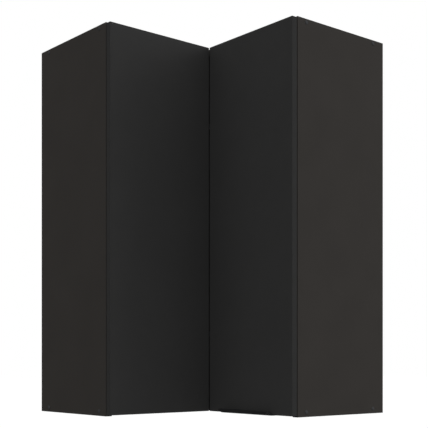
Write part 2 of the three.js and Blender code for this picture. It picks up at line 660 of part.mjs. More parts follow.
// Hinge arm in its own frame: x runs along the board towards the tip, y stands out of the board, and
// the pin is at x = 0. It is a folded channel, open over its first part, where it is the fork that
// holds the inner link's pin.
function hingeArm(pinOut) {
  const inside = INNER_LINK_HEIGHT / 2 + ARM_SIDE_GAP;
  const half = inside + ARM_SHEET;
  const low = PLATE_THICKNESS + ARM_CLEAR;
  const high = pinOut + ARM_WEB_RISE;
  const side = new THREE.Shape();
  side.moveTo(-ARM_LENGTH, low);
  side.lineTo(-ARM_WEB_START - ARM_NOSE, low);
  side.lineTo(ARM_EYE_RADIUS * Math.cos(-EYE_START), pinOut - ARM_EYE_RADIUS * Math.sin(EYE_START));
  side.absarc(0, pinOut, ARM_EYE_RADIUS, -EYE_START, Math.PI / 2);
  side.lineTo(-ARM_WEB_START, high);
  side.lineTo(-ARM_LENGTH + ARM_TAIL_RADIUS, high);
  side.quadraticCurveTo(-ARM_LENGTH, high, -ARM_LENGTH, high - ARM_TAIL_RADIUS);
  const whole = raise(side, -half, half, 5);
  const hollow = block([-ARM_LENGTH - 1, -1, -inside], [-ARM_WEB_START, high - ARM_SHEET, inside]);
  const fork = block([-ARM_WEB_START - 1, -1, -inside], [ARM_EYE_RADIUS + 1, high + 1, inside]);
  const pinHole = upright(PIN_RADIUS + PIN_PLAY, [0, pinOut], -half - 1, half + 1);
  return cut(whole, hollow, fork, pinHole);
}

// Mounting plate in the arm's frame: a base with two screw wings and a raised rail for the arm.
function mountingPlate(pinOut) {
  const middle = -ARM_WEB_START - ARM_NOSE - PLATE_RAIL_LENGTH / 2;
  const long = PLATE_RAIL_LENGTH / 2;
  const wing = PLATE_WIDTH / 2;
  const reach = PLATE_LENGTH / 2;
  const half = INNER_LINK_HEIGHT / 2;
  const wings = roundedRectangle(middle - wing, -reach, middle + wing, reach, PLATE_CORNER);
  const foot = roundedRectangle(middle - long, -half, middle + long, half, PLATE_CORNER / 2);
  const holes = [-1, 1].map((side) => upright(
    SCREW_HOLE_RADIUS, [middle, side * PLATE_SCREWS / 2], -1, PLATE_THICKNESS + 1, HOLE_SIDES,
  ));
  const base = cut(join(raise(wings, 0, PLATE_THICKNESS, 2), raise(foot, 0, PLATE_THICKNESS, 2)), ...holes);
  const top = pinOut + ARM_WEB_RISE - ARM_SHEET - ARM_SEAT_GAP;
  const rail = block([middle - long, PLATE_THICKNESS - 1, -half], [middle + long, top, half]);
  const notch = block(
    [middle - long / 3, top - PLATE_NOTCH_DEPTH, -half - 1], [middle + long / 3, top + 1, half + 1],
  );
  return join(seat(base, X, minus(Z), Y, [0, 0, 0]), cut(rail, notch));
}

const mainArmSeat = (solid, height) => seat(
  solid, minus(Y), X, Z, [-INNER, mainPivot[1] + mainArmPin[1], height],
);

const cornerArmSeat = (solid, height) => seat(
  solid, X, Y, Z, [foldPivot[0] + cornerArmPin[0], -DOOR_BACK, height],
);

function addHinge(name, height, pivot, armPin, cupPin, bends, armOut, armSeat, cupSeat) {
  const at = (point) => plus(pivot, point);
  const middlePin = plus(armPin, cupPin);
  const inner = innerLink(at(armPin), at(middlePin)).translate([0, 0, height]);
  const outer = outerLink(at(cupPin), at(middlePin), bends).translate([0, 0, height]);
  add(`${name}_plate`, armSeat(mountingPlate(armOut), height), 'steel');
  add(`${name}_arm`, armSeat(hingeArm(armOut), height), 'steel');
  add(`${name}_inner_link`, inner, 'bluedSteel');
  add(`${name}_outer_link`, outer, 'bluedSteel');
  add(`${name}_cup`, cupSeat(hingeCup(), height), 'steel');
}

// ---------------------------------------------------------------- assembly

add('left_side_panel', sidePanel(), 'carcass');
add('right_side_panel', onRightLeg(sidePanel()), 'carcass');
add('top_panel', topPanel(), 'carcass');
add('bottom_panel', bottomPanel(), 'carcass');
add('left_back', leftBack(), 'hardboard');
add('right_back', rightBack(), 'hardboard');
add('corner_stile', cornerStile(), 'carcass');

shelfBottoms.forEach((bottom, i) => {
  const level = `shelf_${i + 1}`;
  add(level, shelf(bottom), 'carcass');
  addShelfSupports(level, bottom);
});

addScrewCaps();

add('left_hanger_housing', hangerHousing(), 'plastic');
add('right_hanger_housing', onRightLeg(hangerHousing()), 'plastic');
add('left_hanger_hook', hangerHook(), 'steel');
add('right_hanger_hook', onRightLeg(hangerHook()), 'steel');

add('left_door', leftDoor(), 'door');
add('right_door', rightDoor(), 'door');
add('edge_grip', edgeGrip(), 'grip');

MAIN_HINGE_HEIGHTS.forEach((height, i) => addHinge(
  `main_hinge_${i + 1}`, height, mainPivot, mainArmPin, mainCupPin, MAIN_LINK_BENDS,
  MAIN_ARM_PIN.out, mainArmSeat, mainCupSeat,
));
CORNER_HINGE_HEIGHTS.forEach((height, i) => addHinge(
  `corner_hinge_${i + 1}`, height, foldPivot, cornerArmPin, cornerCupPin, CORNER_LINK_BENDS,
  CORNER_ARM_PIN.out, cornerArmSeat, cornerCupSeat,
));

export default cabinet;
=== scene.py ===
# %% [markdown]
# # Corner wall cabinet with a folding pair of doors
# An L-shaped wall cabinet hangs in the corner of a kitchen. Its carcass is chipboard with a dark
# melamine face, its two doors are matt lacquered boards, and each hinge is a small steel linkage.
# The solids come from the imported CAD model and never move. This script gives them their finishes,
# their rounded edges, their screws, a camera and the light.

import json
import math

import bmesh
import bpy
from mathutils import Matrix, Vector


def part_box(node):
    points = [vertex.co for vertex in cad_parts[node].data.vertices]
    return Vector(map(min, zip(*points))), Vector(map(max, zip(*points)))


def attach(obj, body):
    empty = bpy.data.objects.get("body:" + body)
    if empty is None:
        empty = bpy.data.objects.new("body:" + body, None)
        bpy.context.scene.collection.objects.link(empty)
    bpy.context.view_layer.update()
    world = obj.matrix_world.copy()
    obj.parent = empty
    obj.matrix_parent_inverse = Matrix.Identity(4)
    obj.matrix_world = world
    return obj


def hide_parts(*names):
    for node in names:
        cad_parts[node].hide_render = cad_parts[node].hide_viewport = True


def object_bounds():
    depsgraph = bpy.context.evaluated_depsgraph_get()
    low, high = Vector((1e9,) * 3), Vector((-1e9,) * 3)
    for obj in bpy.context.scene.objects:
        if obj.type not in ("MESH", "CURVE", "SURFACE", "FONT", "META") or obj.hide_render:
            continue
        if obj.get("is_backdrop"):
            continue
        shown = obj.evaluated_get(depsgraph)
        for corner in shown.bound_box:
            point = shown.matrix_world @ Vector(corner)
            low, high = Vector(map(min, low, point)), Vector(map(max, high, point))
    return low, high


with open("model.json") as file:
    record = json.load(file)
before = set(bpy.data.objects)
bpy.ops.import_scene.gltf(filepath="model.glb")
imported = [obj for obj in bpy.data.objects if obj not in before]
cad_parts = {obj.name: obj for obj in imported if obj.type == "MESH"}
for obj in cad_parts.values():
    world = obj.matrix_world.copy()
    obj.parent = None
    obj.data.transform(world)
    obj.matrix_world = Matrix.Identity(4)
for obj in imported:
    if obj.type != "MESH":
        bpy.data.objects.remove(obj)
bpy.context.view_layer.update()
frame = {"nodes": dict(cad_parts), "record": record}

MM = 0.001
bodies = frame["record"]["behaviour"]["bodies"]
body_of = {node: body for body, nodes in bodies.items() for node in nodes}
slot_of = {part["node"]: part["material_slot"] for part in frame["record"]["subparts"]}

# %% [markdown]
# ## The camera
# The uprights of the cabinet are parallel in the photograph, so the camera is level and its picture
# is shifted upwards, as on an architect's camera. A tilted camera would make the uprights lean. Its
# place follows from where the edges of the four faces meet, and the horizon is low because the camera
# stands just above the cabinet's lower edge.

# %% Camera
LENS = 80.3
SENSOR_WIDTH = 36
SHIFT_ACROSS, SHIFT_UP = -0.0043, 0.3351
CAMERA_PLACE = (-1.8061, -2.122, 0.1348)
CAMERA_HEADING = -39.955
FAR_LIMIT = 100

camera_data = bpy.data.cameras.new("camera")
camera_data.sensor_width = SENSOR_WIDTH
camera_data.lens = LENS
camera_data.shift_x = SHIFT_ACROSS
camera_data.shift_y = SHIFT_UP
camera_data.clip_end = FAR_LIMIT
camera = bpy.data.objects.new("camera", camera_data)
camera.location = CAMERA_PLACE
camera.rotation_euler = (math.radians(90), 0, math.radians(CAMERA_HEADING))
bpy.context.scene.collection.objects.link(camera)
bpy.context.scene.camera = camera
print("camera at", camera.location[:])

# %% [markdown]
# ## Helpers for materials
# Every finish is a small net of nodes. Patterns are laid out by Object coordinates, which are metres
# on this model, so a noise of scale 1000 has cells of about a millimetre. The helpers make a
# material, add a node and its links, and turn a grey pattern into colour, gloss or relief. A noise
# stays mostly between 0.3 and 0.7, so its tones are spread over that range.

# %% Material helpers
NOISE_LOW, NOISE_HIGH = 0.3, 0.7


def new_material(name, colour, roughness, metallic=0.0, specular=0.5):
    material = bpy.data.materials.new(name)
    material.use_nodes = True
    shader = material.node_tree.nodes["Principled BSDF"]
    shader.inputs["Base Color"].default_value = (*colour, 1)
    shader.inputs["Roughness"].default_value = roughness
    shader.inputs["Metallic"].default_value = metallic
    shader.inputs["Specular IOR Level"].default_value = specular
    return material, shader


def add_node(owner, kind, **settings):
    """A new node in a material or world. A setting is a socket's value or a property."""
    node = owner.node_tree.nodes.new(kind)
    for key, value in settings.items():
        if key in node.inputs:
            node.inputs[key].default_value = value
        else:
            setattr(node, key, value)
    return node


def link(owner, output, socket):
    owner.node_tree.links.new(output, socket)


def calculate(owner, operation, first, second):
    """One step of arithmetic on two values, each of them a socket or a plain number."""
    node = add_node(owner, "ShaderNodeMath", operation=operation)
    for socket, value in zip(node.inputs, (first, second)):
        if isinstance(value, float):
            socket.default_value = value
        else:
            link(owner, value, socket)
    return node.outputs["Value"]


def place(material, stretch=(1, 1, 1)):
    """Object coordinates, drawn out along the axes where the stretch is small."""
    source = add_node(material, "ShaderNodeTexCoord")
    mapping = add_node(material, "ShaderNodeMapping", Scale=stretch)
    link(material, source.outputs["Object"], mapping.inputs["Vector"])
    return mapping.outputs["Vector"]


def noise(material, scale, detail=3.0, stretch=(1, 1, 1)):
    node = add_node(material, "ShaderNodeTexNoise", Scale=scale, Detail=detail)
    link(material, place(material, stretch), node.inputs["Vector"])
    return node.outputs["Fac"]


def ramp(material, pattern, stops):
    """Colour by pattern: stops are pairs of a position and a colour."""
    node = add_node(material, "ShaderNodeValToRGB")
    elements = node.color_ramp.elements
    while len(elements) < len(stops):
        elements.new(0.5)
    for element, (position, colour) in zip(elements, stops):
        element.position = position
        element.color = (*colour, 1)
    link(material, pattern, node.inputs["Fac"])
    return node.outputs["Color"]


def two_tones(material, pattern, dark, pale):
    return ramp(material, pattern, [(NOISE_LOW, dark), (NOISE_HIGH, pale)])


def tinted(colour, share):
    return tuple(part * share for part in colour)


def mottled(material, shader, colour, darker, paler, pattern):
    """Lets a colour drift between two shares of itself."""
    tones = two_tones(material, pattern, tinted(colour, darker), tinted(colour, paler))
    link(material, tones, shader.inputs["Base Color"])


def uneven_gloss(material, shader, pattern, smooth, rough):
    """Lets the roughness drift between two values."""
    node = add_node(material, "ShaderNodeMapRange")
    ends = {"From Min": NOISE_LOW, "From Max": NOISE_HIGH, "To Min": smooth, "To Max": rough}
    for socket, value in ends.items():
        node.inputs[socket].default_value = value
    link(material, pattern, node.inputs["Value"])
    link(material, node.outputs["Result"], shader.inputs["Roughness"])


def relief(material, shader, pattern, depth):
    node = add_node(material, "ShaderNodeBump", Strength=1.0, Distance=depth)
    link(material, pattern, node.inputs["Height"])
    link(material, node.outputs["Normal"], shader.inputs["Normal"])


print("material helpers ready")

# %% [markdown]
# ## Doors: matt lacquer
# The doors are sprayed nearly black and neutral, and rubbed matt. On the real board the spray leaves
# a very fine orange peel, and the gloss drifts a little from hand to hand. One flat colour would do
# from afar, but would look like paper nearby. So a fine noise gives the peel, and wide ones move
# colour and roughness by a few hundredths. They are kept weak, because the photograph shows the faces
# almost even. The narrow faces are painted a touch darker, as painted shade for the dim edges and ends.

# %% Lacquer
LACQUER = (0.0225, 0.0225, 0.0223)
LACQUER_GRAIN = 0.03 * MM
lacquer, shader = new_material("matt_lacquer", LACQUER, roughness=0.84, specular=0.12)
mottled(lacquer, shader, LACQUER, darker=0.97, paler=1.03, pattern=noise(lacquer, scale=7, detail=4))
uneven_gloss(lacquer, shader, noise(lacquer, scale=30, detail=5), smooth=0.8, rough=0.88)
relief(lacquer, shader, noise(lacquer, scale=900, detail=4), LACQUER_GRAIN)

# painted shade: the narrow faces are painted at 0.86 of the lacquer tone, for the shade on the door's
# edges and ends
DOOR_EDGE_SHADED = tinted(LACQUER, 0.86)
door_edge_shaded, shader = new_material("door_edge_shaded", DOOR_EDGE_SHADED, roughness=0.86, specular=0.1)
edge_drift = noise(door_edge_shaded, scale=50, detail=3)
mottled(door_edge_shaded, shader, DOOR_EDGE_SHADED, darker=0.95, paler=1.05, pattern=edge_drift)
relief(door_edge_shaded, shader, noise(door_edge_shaded, scale=1200, detail=2), LACQUER_GRAIN)
print("door finishes", lacquer.name, door_edge_shaded.name)

# %% [markdown]
# ## Carcass: melamine and edge band
# The carcass boards have a pressed melamine face, a touch warmer and browner than the doors, with a
# pearl texture of half a millimetre. Their front edges carry a plastic band of the same colour, which
# is smoother. Both are noises again, so that no picture of a board is needed and nothing repeats.

# %% Melamine and edge band
MELAMINE = (0.0264, 0.0241, 0.022)
PEARL_DEPTH = 0.05 * MM
BAND_GRAIN = 0.03 * MM
melamine, shader = new_material("melamine", MELAMINE, roughness=0.87, specular=0.08)
mottled(melamine, shader, MELAMINE, darker=0.95, paler=1.05, pattern=noise(melamine, scale=12, detail=5))
uneven_gloss(melamine, shader, noise(melamine, scale=700, detail=2), smooth=0.82, rough=0.92)
relief(melamine, shader, noise(melamine, scale=1800, detail=2), PEARL_DEPTH)

edge_band, shader = new_material("edge_band", MELAMINE, roughness=0.85, specular=0.08)
band_drift = noise(edge_band, scale=40, detail=3)
mottled(edge_band, shader, MELAMINE, darker=0.94, paler=1.04, pattern=band_drift)
relief(edge_band, shader, noise(edge_band, scale=1200, detail=2), BAND_GRAIN)
print("board faces", melamine.name, edge_band.name)

# %% [markdown]
# ## Raw board: chipboard and fibreboard
# Where the saw and the drill cut the carcass boards, wood chips of several tones lie in the glue. A
# noise would look like stone there, so a cell pattern is used, in which each cell is a chip with a
# tone of its own. The doors are fibreboard, which is even and felt-like in the hinge bores, and a
# fine noise is right for that.

# %% Raw chipboard and fibreboard
CHIP_TONES = [
    (0.0, (0.13, 0.08, 0.045)),
    (0.35, (0.3, 0.2, 0.12)),
    (0.7, (0.42, 0.3, 0.19)),
    (1.0, (0.55, 0.43, 0.3)),
]
CHIP_DEPTH = 0.4 * MM
FELT_DARK, FELT_PALE = (0.31, 0.21, 0.125), (0.41, 0.29, 0.18)
FELT_DEPTH = 0.08 * MM

chipboard, shader = new_material("raw_chipboard", (0.33, 0.23, 0.14), roughness=0.85, specular=0.2)
chips = add_node(chipboard, "ShaderNodeTexVoronoi", Scale=420, Randomness=1.0)
link(chipboard, place(chipboard), chips.inputs["Vector"])
grey = add_node(chipboard, "ShaderNodeSeparateColor")
link(chipboard, chips.outputs["Color"], grey.inputs["Color"])
link(chipboard, ramp(chipboard, grey.outputs["Red"], CHIP_TONES), shader.inputs["Base Color"])
relief(chipboard, shader, chips.outputs["Distance"], CHIP_DEPTH)

fibreboard, shader = new_material("raw_fibreboard", (0.36, 0.25, 0.15), roughness=0.9, specular=0.15)
felt = two_tones(fibreboard, noise(fibreboard, scale=1400, detail=5), FELT_DARK, FELT_PALE)
link(fibreboard, felt, shader.inputs["Base Color"])
relief(fibreboard, shader, noise(fibreboard, scale=2200, detail=4), FELT_DEPTH)
print("raw boards", chipboard.name, fibreboard.name)

# %% [markdown]
# ## Backs: foiled hardboard
# The two backs are thin hardboard. The face inside the cabinet has a dark foil, and the wall side is
# the bare brown board with the fine mesh that the press leaves. Each back is one solid and could be
# split in two, but the surface normal tells its sides apart as well: what faces along +x or +y, to
# the walls, is bare. A Mix node has sockets of the same name for each kind of data, so those for
# colours are picked by number.

# %% Hardboard
FOIL_DARK, FOIL_PALE = (0.028, 0.026, 0.024), (0.032, 0.03, 0.028)
FIBRE_DARK, FIBRE_PALE = (0.11, 0.062, 0.034), (0.19, 0.115, 0.066)
MESH_DEPTH = 0.08 * MM
COLOUR_A, COLOUR_B, COLOUR_OUT = 6, 7, 2

hardboard, shader = new_material("hardboard", (0.03, 0.028, 0.026), roughness=0.65, specular=0.3)
axes = add_node(hardboard, "ShaderNodeSeparateXYZ")
link(hardboard, add_node(hardboard, "ShaderNodeTexCoord").outputs["Normal"], axes.inputs["Vector"])
to_wall = calculate(hardboard, "MAXIMUM", axes.outputs["X"], axes.outputs["Y"])
bare = calculate(hardboard, "GREATER_THAN", to_wall, 0.5)
sides = add_node(hardboard, "ShaderNodeMix", data_type="RGBA")
foil = two_tones(hardboard, noise(hardboard, scale=15, detail=4), FOIL_DARK, FOIL_PALE)
fibres = two_tones(hardboard, noise(hardboard, scale=260, detail=6), FIBRE_DARK, FIBRE_PALE)
link(hardboard, bare, sides.inputs["Factor"])
link(hardboard, foil, sides.inputs[COLOUR_A])
link(hardboard, fibres, sides.inputs[COLOUR_B])
link(hardboard, sides.outputs[COLOUR_OUT], shader.inputs["Base Color"])
relief(hardboard, shader, noise(hardboard, scale=900, detail=3), MESH_DEPTH)
print("backs", hardboard.name)

# %% [markdown]
# ## Steel of the hinges, hooks and shelf supports
# The pressed steel parts are nickel plated: a warm grey metal whose polish shows faint clouds. The
# levers of the hinges are blued, so they are much darker. Full metals have no colour under the
# reflection, so the tone is the base colour itself, and the clouds move only the roughness.

# %% Steel finishes
ROLLED_DEPTH = 0.015 * MM


def metal_finish(name, colour, smooth, rough, clouds, grain):
    material, shader = new_material(name, colour, (smooth + rough) / 2, metallic=1)
    uneven_gloss(material, shader, noise(material, scale=clouds, detail=4), smooth, rough)
    relief(material, shader, noise(material, scale=grain, detail=2), ROLLED_DEPTH)
    return material


steel = metal_finish(
    "nickel_steel", (0.62, 0.6, 0.57), smooth=0.2, rough=0.38, clouds=120, grain=2600,
)
blued_steel = metal_finish(
    "blued_steel", (0.1, 0.105, 0.12), smooth=0.28, rough=0.42, clouds=150, grain=2600,
)
print("steels", steel.name, blued_steel.name)

# %% [markdown]
# ## Edge grip: dark anodised aluminium
# The grip is a drawn profile, so its fine lines run along it, which is the cabinet's y direction. A
# noise squeezed along y gives those lines as relief and as small changes of gloss. Its two ends are
# sawn after the anodising and painted a little paler: partly the bare cut, partly painted light that
# stands in for the light they catch. The saw's lines run across them.

# %% Anodised grip
DRAWN_ALONG_Y = (1, 0.01, 1)
SAWN_ACROSS_X = (0.05, 1, 1)
# painted light: the two tones of the sawn ends are paler than the anodised face, partly for the bare
# cut, partly standing in for light
SAWN_END_LIT_DARK, SAWN_END_LIT_PALE = (0.022, 0.022, 0.0225), (0.026, 0.026, 0.0265)
GRIP_GRAIN = 0.03 * MM

grip_metal, shader = new_material("dark_anodised", (0.014, 0.014, 0.0145), roughness=0.85, specular=0.04)
lines = noise(grip_metal, scale=1500, detail=3, stretch=DRAWN_ALONG_Y)
uneven_gloss(grip_metal, shader, lines, smooth=0.78, rough=0.92)
relief(grip_metal, shader, lines, GRIP_GRAIN)

# the sawn ends' finish, partly painted light
grip_end_lit, shader = new_material("sawn_end_painted_light", (0.024, 0.024, 0.0245), roughness=0.8, specular=0.04)
saw_lines = noise(grip_end_lit, scale=900, detail=3, stretch=SAWN_ACROSS_X)
link(grip_end_lit, two_tones(grip_end_lit, saw_lines, SAWN_END_LIT_DARK, SAWN_END_LIT_PALE), shader.inputs["Base Color"])
relief(grip_end_lit, shader, noise(grip_end_lit, scale=1800, detail=2, stretch=SAWN_ACROSS_X), GRIP_GRAIN)
print("grip", grip_metal.name, grip_end_lit.name)

# %% [markdown]
# ## Plastics
# The screw covers, the hanger housings and the door buffers are moulded. A spark-eroded mould leaves
# a fine even grain, which is a small noise in the relief. The buffers are soft and half clear, so
# some of the light goes through them.

# %% Moulded plastics
def moulded(name, colour, roughness, grain, depth, specular=0.5, clear=0.0):
    material, shader = new_material(name, colour, roughness, specular=specular)
    drift = noise(material, scale=60, detail=3)
    mottled(material, shader, colour, darker=0.94, paler=1.06, pattern=drift)
    relief(material, shader, noise(material, scale=grain, detail=2), depth)
    shader.inputs["Transmission Weight"].default_value = clear
    return material


cap_plastic = moulded(
    "cap_plastic", (0.0384, 0.0395, 0.0407), roughness=0.8, grain=2200, depth=0.03 * MM, specular=0.03,
)
hanger_plastic = moulded(
    "hanger_plastic", (0.36, 0.36, 0.37), roughness=0.5, grain=1600, depth=0.06 * MM,
)
buffer_plastic = moulded(
    "buffer_plastic", (0.5, 0.5, 0.5), roughness=0.3, grain=2600, depth=0.01 * MM, clear=0.5,
)
print("plastics", cap_plastic.name, hanger_plastic.name, buffer_plastic.name)

# %% [markdown]
# ## Every CAD node gets its finish
# The record names a material slot for each node, as a workshop's list names the stuff of each part.
# A node that is replaced below gets a finish here as well, so that none of them is left bare.

# %% Finishes on the CAD nodes
FINISH_OF_SLOT = {
    "carcass_board": melamine,
    "door_board": lacquer,
    "hardboard": hardboard,
    "steel": steel,
    "link_steel": blued_steel,
    "grip_metal": grip_metal,
    "cap_plastic": cap_plastic,
    "hanger_plastic": hanger_plastic,
}
for name, node in frame["nodes"].items():
    node.data.materials.clear()
    node.data.materials.append(FINISH_OF_SLOT[slot_of[name]])
print("finished", len(frame["nodes"]), "nodes")

# %% [markdown]
# ## Helpers for pieces
# The CAD solids have knife-sharp edges, which no real board or pressing has, and an edge without a
# radius catches no light. So most nodes are stood for by a copy: its loose triangles are merged, flat
# neighbours are joined again, the outer edges are rounded with a bevel, and round forms are shaded
# smooth. A bevel can leave slivers thinner than a hair, which are merged away before the mesh is
# made. The CAD mesh itself stays as it is.

# %% Piece helpers
MERGED = 0.01 * MM
FLAT = math.radians(1)


def copied(name):
    """A merged copy of a CAD node's mesh, as a bmesh."""
    bm = bmesh.new()
    bm.from_mesh(frame["nodes"][name].data)
    bmesh.ops.remove_doubles(bm, verts=bm.verts, dist=MERGED)
    bmesh.ops.dissolve_limit(bm, angle_limit=FLAT, verts=bm.verts, edges=bm.edges)
    return bm


def outer_edges(bm, sharper, longer=0.0):
    """Edges that stick out, sharper than an angle in degrees and longer than a length."""
    return [
        edge for edge in bm.edges
        if len(edge.link_faces) == 2 and edge.calc_length() > longer
        and edge.calc_face_angle_signed() > math.radians(sharper)
    ]


def rounded(bm, edges, radius, segments):
    bmesh.ops.bevel(
        bm, geom=edges, offset=radius, offset_type="OFFSET", segments=segments,
        profile=0.5, affect="EDGES", material=-1, clamp_overlap=True,
    )


def made(name, bm, finishes, body, smooth=40):
    """Turns the bmesh into a finished piece that rides on a body."""
    bmesh.ops.remove_doubles(bm, verts=bm.verts, dist=MERGED)
    bmesh.ops.dissolve_degenerate(bm, dist=MERGED, edges=bm.edges)
    mesh = bpy.data.meshes.new(name)
    bm.to_mesh(mesh)
    bm.free()
    for finish in finishes:
        mesh.materials.append(finish)
    mesh.shade_smooth()
    mesh.set_sharp_from_angle(angle=math.radians(smooth))
    piece = bpy.data.objects.new(name, mesh)
    bpy.context.scene.collection.objects.link(piece)
    piece.modifiers.new("even_normals", "WEIGHTED_NORMAL").keep_sharp = True
    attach(piece, body)
    return piece


def stands_for(node, bm, finishes=None, smooth=40):
    """A finished piece in place of a CAD node, on the same body, in the finish of the node's slot unless
    others are given.
    """
    finishes = finishes or [FINISH_OF_SLOT[slot_of[node]]]
    piece = made(f"{node}_finished", bm, finishes, body_of[node], smooth)
    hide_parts(node)


def box_of(node):
    """The lowest corner, the highest corner and the middle of a CAD node."""
    low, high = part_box(node)
    return low, high, (low + high) / 2


print("piece helpers ready")

# %% [markdown]
# ## Carcass boards
# Side panels, top, bottom, shelves and stile are sawn boards. The band on a front edge is pressed on
# and scraped to a small radius, about a third of a millimetre. Only long edges are rounded, so the
# small holes for the shelf supports stay crisp. Each face then gets one of three finishes by where it
# looks and lies: melamine on the broad faces, band on the edges, and raw chipboard towards the walls
# and in the grooves and holes. Painting the faces by hand would go wrong when the model changes.

# %% Carcass boards
BOARDS = (
    "left_side_panel", "right_side_panel", "top_panel", "bottom_panel",
    "shelf_1", "shelf_2", "corner_stile",
)
BAND_RADIUS = 0.35 * MM
LONG_EDGE = 12 * MM
WALL_NEAR = 1.5 * MM
SUNK = 0.6 * MM  # a broad face deeper than this is the floor of a groove or hole
DRILLED_SHARE = 0.85  # a narrow face that spans less of the thickness is the wall of one
BROAD = 0.9  # how squarely a face looks across its board
TURNED_TO_WALL = 0.7


def board_face_finish(face, low, high, thin):
    """0 melamine, 1 edge band, 2 raw chipboard. thin is the axis across the board."""
    centre = face.calc_center_median()
    if abs(face.normal[thin]) > BROAD:
        sunk = min(centre[thin] - low[thin], high[thin] - centre[thin])
        return 2 if sunk > SUNK else 0
    at_wall = (face.normal[axis] for axis in (0, 1) if centre[axis] > -WALL_NEAR)
    if max(at_wall, default=0) > TURNED_TO_WALL:
        return 2
    reach = [vert.co[thin] for vert in face.verts]
    drilled = SUNK < max(reach) - min(reach) < DRILLED_SHARE * (high[thin] - low[thin])
    return 2 if drilled else 1


for name in BOARDS:
    low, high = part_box(name)
    size = list(high - low)
    thin = size.index(min(size))
    bm = copied(name)
    rounded(bm, outer_edges(bm, sharper=60, longer=LONG_EDGE), BAND_RADIUS, segments=3)
    for face in bm.faces:
        face.material_index = board_face_finish(face, low, high, thin)
    print(name, len(bm.faces), "faces,", sum(face.material_index == 2 for face in bm.faces), "raw")
    stands_for(name, bm, [melamine, edge_band, chipboard])

# %% [markdown]
# ## Doors
# A lacquered door is cut from fibreboard and sanded before the paint. The rims of its top and bottom
# ends take a very fine bevel. The upright edges stay crisp, as the photograph shows them, and so do
# the rims of the hinge bores, as a drill leaves them. The narrow faces get the edge finish, and
# whatever lies below the surface is the bare board in a bore.

# %% Doors
DOOR_RADIUS = 0.2 * MM
EDGE_ZONE = 1.5 * DOOR_RADIUS  # faces this near to the outline are narrow faces or bevels
NEAR = 0.1 * MM


def at_door_end(edge, low, high):
    heights = [vert.co.z for vert in edge.verts]
    return any(all(abs(z - end) < NEAR for z in heights) for end in (low.z, high.z))


def door_face_finish(face, low, high, thin):
    """0 lacquer on the broad faces, 1 edge finish, 2 bare board in the hinge bores."""
    centre = face.calc_center_median()
    wide = 1 - thin
    margin = min(abs(centre[axis] - side[axis]) for axis in (wide, 2) for side in (low, high))
    if margin < EDGE_ZONE:
        return 1
    deep = min(centre[thin] - low[thin], high[thin] - centre[thin]) > NEAR
    return 2 if deep else 0


for name, thin in (("left_door", 1), ("right_door", 0)):
    low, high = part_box(name)
    bm = copied(name)
    ends = [edge for edge in outer_edges(bm, sharper=60) if at_door_end(edge, low, high)]
    rounded(bm, ends, DOOR_RADIUS, segments=3)
    for face in bm.faces:
        face.material_index = door_face_finish(face, low, high, thin)
    bare_faces = sum(face.material_index == 2 for face in bm.faces)
    print(name, len(bm.faces), "faces,", bare_faces, "in the bores")
    # the narrow faces take the darker edge colour, which is painted shade
    stands_for(name, bm, [lacquer, door_edge_shaded, fibreboard])

# %% [markdown]
# ## Edge grip
# The profile is sawn off square and the ends are deburred. The curve of the lip comes from the CAD
# in facets, which smooth shading joins again, and a small bevel softens the ends and the lip. The
# faces that look along the profile are the sawn ends.

# %% Edge grip
GRIP_RADIUS = 0.3 * MM
GRIP_LONG_EDGE = 1.5 * MM
SQUARE_END = 0.99  # how squarely a sawn end looks along the profile
bm = copied("edge_grip")
rounded(bm, outer_edges(bm, sharper=50, longer=GRIP_LONG_EDGE), GRIP_RADIUS, segments=3)
for face in bm.faces:
    # the sawn ends take the paler finish, which is partly painted light
    face.material_index = int(abs(face.normal.y) > SQUARE_END)
print("edge_grip", len(bm.faces), "faces")
stands_for("edge_grip", bm, [grip_metal, grip_end_lit], smooth=35)

# %% [markdown]
# ## Hinge parts, shelf supports and hooks
# Cups, arms, plates and levers are stamped from steel, and so are the supports and hooks, so their
# edges are tumbled round. One small bevel on every outer edge is enough for the light to draw them.
# The pins and eyes are many-sided in the CAD and are shaded smooth here.

# %% Hinge parts, shelf supports and hooks
STAMPED_RADIUS = 0.22 * MM
STAMPED_WORDS = ("_hinge_", "_support_", "_hook")
STAMPED = [name for name in frame["nodes"] if any(word in name for word in STAMPED_WORDS)]
for name in STAMPED:
    bm = copied(name)
    rounded(bm, outer_edges(bm, sharper=55), STAMPED_RADIUS, segments=2)
    stands_for(name, bm, smooth=47)
print("stamped parts", len(STAMPED))

# %% [markdown]
# ## Hanger housings
# A hanger's housing is a moulded box, and a mould needs rounder edges than a press. So it gets a wider
# bevel, but only on its long edges, because the same bevel would close up the rims of its wells.

# %% Hanger housings
HOUSING_RADIUS = 0.8 * MM
HOUSING_LONG_EDGE = 5 * MM
for name in ("left_hanger_housing", "right_hanger_housing"):
    bm = copied(name)
    edges = outer_edges(bm, sharper=60, longer=HOUSING_LONG_EDGE)
    rounded(bm, edges, HOUSING_RADIUS, segments=3)
    stands_for(name, bm, smooth=35)
print("housings rounded by", HOUSING_RADIUS / MM, "mm")

# %% [markdown]
# ## Screw covers
# A cover is a small flat dome on a straight rim, pressed into the screw's drive. The section is drawn
# once, from the rim to the crown, and spun round the cover's own axis. A squashed sphere would have no
# rim and no flat foot. The spin's first and last rings are merged, and the normals recalculated,
# because a spin can come out inside out. In the photograph the covers are a little smaller than the
# solids, so the dome keeps within its solid.

# %% Screw covers
CAP_RADIUS = 4.7 * MM
CAP_RISE = 1.7 * MM
CAP_RIM = 0.3 * MM
DOME_STEPS = 8
SPIN_STEPS = 40
CAPS = [name for name in frame["nodes"] if "_cap_" in name]


